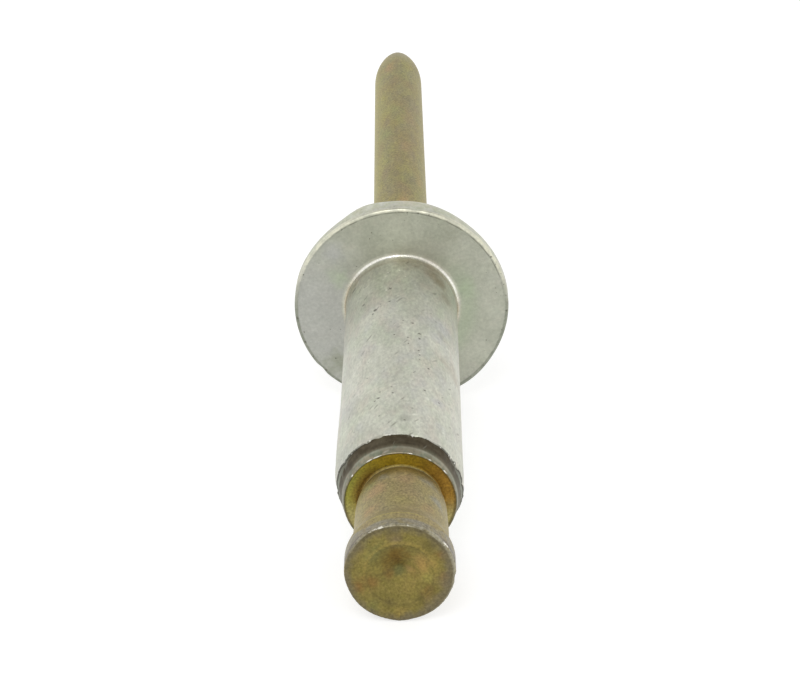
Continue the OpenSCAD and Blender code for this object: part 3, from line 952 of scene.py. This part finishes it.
def makeYellowZinc():
    c = yellowZincSet
    material, tree, shader = newMaterial("yellowZinc")
    spot = uprightSpot(tree, 0)
    radius, height, clock = turnedPlace(spot)
    aside = abs(clock)
    flow = stretched(spot, 0.45)
    headR, dimpleR, ringR = [mandrelSet[name] for name in ("headR", "dimpleR", "ringR")]
    rootR, ringFace = mandrelSet["plugRootR"], place["lipEnd"]

    # stem: khaki with soft yellow, pink, green and grey patches
    color = blend(blotch(flow, 1.5), c["khaki"], c["brown"])
    for name, size, share, shift, amount in (("yellow", 1.2, 0.4, 11.0, 0.4), ("pink", 1.0, 0.35, 23.0, 0.35),
                                             ("green", 1.1, 0.4, 37.0, 0.35), ("grey", 0.8, 0.35, 49.0, 0.4)):
        color = blend(blotch(flow, size, share, 0.2, shift) * amount, color, c[name])
    color = addStains(spot, color, stemStains, c, 0.45)
    # the stem is painted darker on its right side, as painted shade, and yellower on its left
    color = blend(ease(clock, 0.5, 1.3) * 0.6, color, c["rightSide"])
    color = blend(ease(clock, -0.5, -1.3) * 0.6, color, c["leftSide"])
    color = blend((height < ringFace + 0.1) * 0.5, color, c["plug"])
    # a little painted shade on the plug next to the shear ring
    color = blend(band(height, ringFace - 0.5, ringFace - 0.08, 0.2) * 0.14, color, c["dark"])
    color = addStains(spot, color, plugStains, c)

    # shear ring: deep yellow, greener to the left and browner to the right
    ring = blend(ease(clock, -1.2, -0.2), c["ringLeft"], c["ringTop"])
    ring = blend(ease(clock, 0.0, 1.0), ring, c["ringRight"])
    ring = blend(ease(aside, 1.4, 2.0), ring, c["ringSide"])
    ring = blend(1.0, ring, grain(spot, 0.5, 0.4)[0], "MULTIPLY")
    # painted shadow of the lip on the ring's outer edge
    ring = blend(ease(radius, ringR - 0.13, ringR - 0.03) * 0.6, ring, c["dark"])
    # painted shade of the plug on the inner part of the ring, on the left
    inner = ease(radius, ringR - 0.12, rootR + 0.13) * ease(clock, -0.3, -0.9) * ease(clock, -2.0, -1.3)
    ring = blend(inner * 0.8, ring, c["ringInner"])
    ring = blend(ease(radius, rootR + 0.09, rootR + 0.03), ring, c["bead"])
    # painted shade beside the bead, at the sides
    besideBead = ease(radius, rootR + 0.18, rootR + 0.05) * ease(aside, 0.4, 0.9)
    ring = blend(besideBead * 0.8, ring, c["deepShade"])
    color = blend(band(height, ringFace - 0.07, ringFace + 0.3, 0.01), color, ring)

    # side of the head: a dark fringe next to the face, then worn to silver
    outside = ease(radius, headR - 0.1, headR - 0.04)
    onSide = band(height, 0.0, 0.62 + ease(aside, 0.6, 1.2) * 0.6, 0.1)
    side = blend(blotch(spot, 0.6, 0.75, 0.25, 5.0) * 0.85, color, c["silver"])
    side = blend(band(height, -0.1, 0.34, 0.1) * ease(aside, 0.6, 1.1), side, c["fringe"])
    color = blend(onSide * outside, color, side)

    # face: olive and orange patches, dark towards its rim
    onFace = (height < 0.9) * (radius < headR - 0.03)
    face = blend(blotch(spot, 0.5, 0.45, 0.25, 13.0) * 0.3, c["face"], c["faceDark"])
    face = blend(blotch(spot, 0.3, 0.4, 0.2, 43.0) * 0.15, face, c["pink"])
    face = addStains(spot, face, faceStains, c)
    uneven = blotch(spot, 0.4, 0.5, 0.25)
    lowHalf = ease(aside, 1.2, 2.0)
    # the dimple's rim: a painted shade line on its lower half, and a painted highlight line on its upper half
    ridgeLine = band(radius, dimpleR - 0.05, dimpleR + 0.04, 0.05) * (0.35 + uneven * 0.65)
    face = blend(ridgeLine * lowHalf * 0.6, face, c["faceDark"])
    ridgeLight = band(radius, dimpleR + 0.02, dimpleR + 0.14, 0.05) * (1.0 - lowHalf)
    face = blend(ridgeLight * 0.35, face, c["light"])
    rimWidth = uneven * 0.2 + ease(clock, 0.6, 1.5) * 0.15
    face = blend(ease(radius + rimWidth, headR - 0.5, headR + 0.1) * 0.9, face, c["rim"])
    # a painted highlight along the rim below, and painted shade just inside the rim above
    lowRim = ease(radius, headR - 0.2, headR - 0.08) * ease(abs(clock - 2.0), 1.4, 0.6)
    face = blend(lowRim * 0.55, face, c["sheen"])
    upperRim = band(radius, headR - 0.22, headR - 0.1, 0.04) * ease(aside, 1.2, 0.8)
    face = blend(upperRim * uneven * 0.6, face, c["dark"])
    color = blend(onFace, color, face)

    # the edge of the face carries a painted highlight and a few painted glints, and a painted yellow
    # highlight runs along the back edge of the head
    edgeHighlight = band(height, -0.2, 0.16, 0.03) * outside * blotch(spot, 0.4, 0.65, 0.15, 77.0)
    color = blend(edgeHighlight * ease(clock, -1.4, -0.7) * 0.75, color, c["sheen"])
    bright = addMarks(spot, [(headR - 0.02, 0.04, turn, size) for turn, size in headGlints])
    bright = bright * ease(radius, headR - 0.1, headR - 0.06) * band(height, -0.2, 0.16, 0.02)
    color = blend(bright, color, c["glint"])
    backHighlight = band(height, 1.08, 1.2, 0.03) * blotch(spot, 0.5, 0.6, 0.1, 31.0) * outside
    color = blend(backHighlight * 0.7, color, c["back"])

    # specks and pits
    dots = speck(spot, 0.4, 0.05, 0.35)
    color = blend(calc("MAXIMUM", dots * 0.45, addMarks(spot, faceMarks) * 0.6), color, c["dark"])
    fine, fineHeight = grain(spot, 0.12, 0.95 - onFace * 0.25)
    coarse = grain(flow, 0.4, 0.16)[0]
    color = blend(1.0, color, fine * coarse, "MULTIPLY")
    gloss = coarse * c["gloss"] - bright * 0.2
    joinShader(shader, c["metal"], color, gloss, fineHeight * 0.4 - dots)
    return material


sleeve.data.materials.append(makeClearZinc())
mandrel.data.materials.append(makeYellowZinc())
print("finishes made")


# ---- studio: floor, lamps, world
studioSet = {
    "floorSize": 4.0,
    "floorShade": 0.9,
    "seenShade": 0.5,       # what the camera sees of the floor's own shade, under its glow
    "seenGlow": 0.66,
    "skySide": 1.0,
    "skyTop": 0.35,
    "skyTurn": (0.65, 0.95),    # heights between which the shade changes, 1 straight up
    "lampSize": 0.2,
    "lampPower": 0.5,
}


def makeFloor():
    bpy.ops.object.select_all(action="DESELECT")
    bpy.ops.mesh.primitive_plane_add(size=studioSet["floorSize"], location=(0, 0, 0))
    floor = bpy.context.object
    floor.name = "floor"
    material, tree, shader = newMaterial("paleFloor")
    shade = studioSet["floorShade"]
    shader.inputs["Base Color"].default_value = (shade, shade, shade, 1)
    shader.inputs["Roughness"].default_value = 1
    shader.inputs["Specular IOR Level"].default_value = 0
    seen = studioSet["seenShade"]
    plain = put(tree, "BsdfDiffuse", {"Color": (seen, seen, seen, 1)})
    glow = put(tree, "Emission", {"Color": (1, 1, 1, 1), "Strength": studioSet["seenGlow"]})
    both = put(tree, "AddShader", {0: plain.outputs[0], 1: glow.outputs[0]})
    rays = put(tree, "LightPath").outputs
    seenBy = calc("MAXIMUM", Wire(rays["Is Camera Ray"]), Wire(rays["Is Glossy Ray"]))
    choose = put(tree, "MixShader", {0: seenBy, 1: shader.outputs[0], 2: both.outputs[0]})
    tree.links.new(choose.outputs[0], tree.nodes["Material Output"].inputs["Surface"])
    floor.data.materials.append(material)


def makeLamp(name, spot, size, power):
    data = bpy.data.lights.new(name, "AREA")
    data.shape = "DISK"
    data.size = size
    data.energy = power
    lamp = bpy.data.objects.new(name, data)
    bpy.context.scene.collection.objects.link(lamp)
    lamp.location = spot
    lamp.rotation_euler = (-Vector(spot)).to_track_quat("-Z", "Y").to_euler()


def makeWorld():
    world = bpy.data.worlds.new("studio")
    bpy.context.scene.world = world
    world.use_nodes = True
    tree = world.node_tree
    background = tree.nodes["Background"]
    low, high = studioSet["skyTurn"]
    where = put(tree, "TexCoord").outputs["Generated"]
    up = put(tree, "SeparateXYZ", {0: where}).outputs["Z"]
    shade = put(tree, "MapRange", {"Value": up, "From Min": low, "From Max": high,
                                   "To Min": studioSet["skySide"], "To Max": studioSet["skyTop"]})
    rays = put(tree, "LightPath").outputs
    seen = put(tree, "Mix", {0: rays["Is Camera Ray"], 2: shade.outputs[0], 3: 1.0})
    background.inputs["Color"].default_value = (1, 1, 1, 1)
    tree.links.new(seen.outputs[0], background.inputs["Strength"])
    bpy.context.scene.view_settings.view_transform = "Standard"


# ---- camera
cameraSet = {"rise": 26.7, "lens": 107.1, "distance": 0.1342, "aimAt": 0.0247}


def makeCamera():
    elevation = math.radians(cameraSet["rise"]) - tilt
    look = Vector((0, math.cos(elevation), -math.sin(elevation)))
    data = bpy.data.cameras.new("camera")
    data.lens = cameraSet["lens"]
    data.sensor_width = 36
    data.clip_start = 0.001
    camera = bpy.data.objects.new("camera", data)
    bpy.context.scene.collection.objects.link(camera)
    camera.location = headFace + axis * cameraSet["aimAt"] - look * cameraSet["distance"]
    camera.rotation_euler = look.to_track_quat("-Z", "Y").to_euler()
    bpy.context.scene.camera = camera


makeFloor()
makeLamp("keyLamp", (-0.05, -0.35, 0.35), studioSet["lampSize"], studioSet["lampPower"])
makeWorld()
makeCamera()
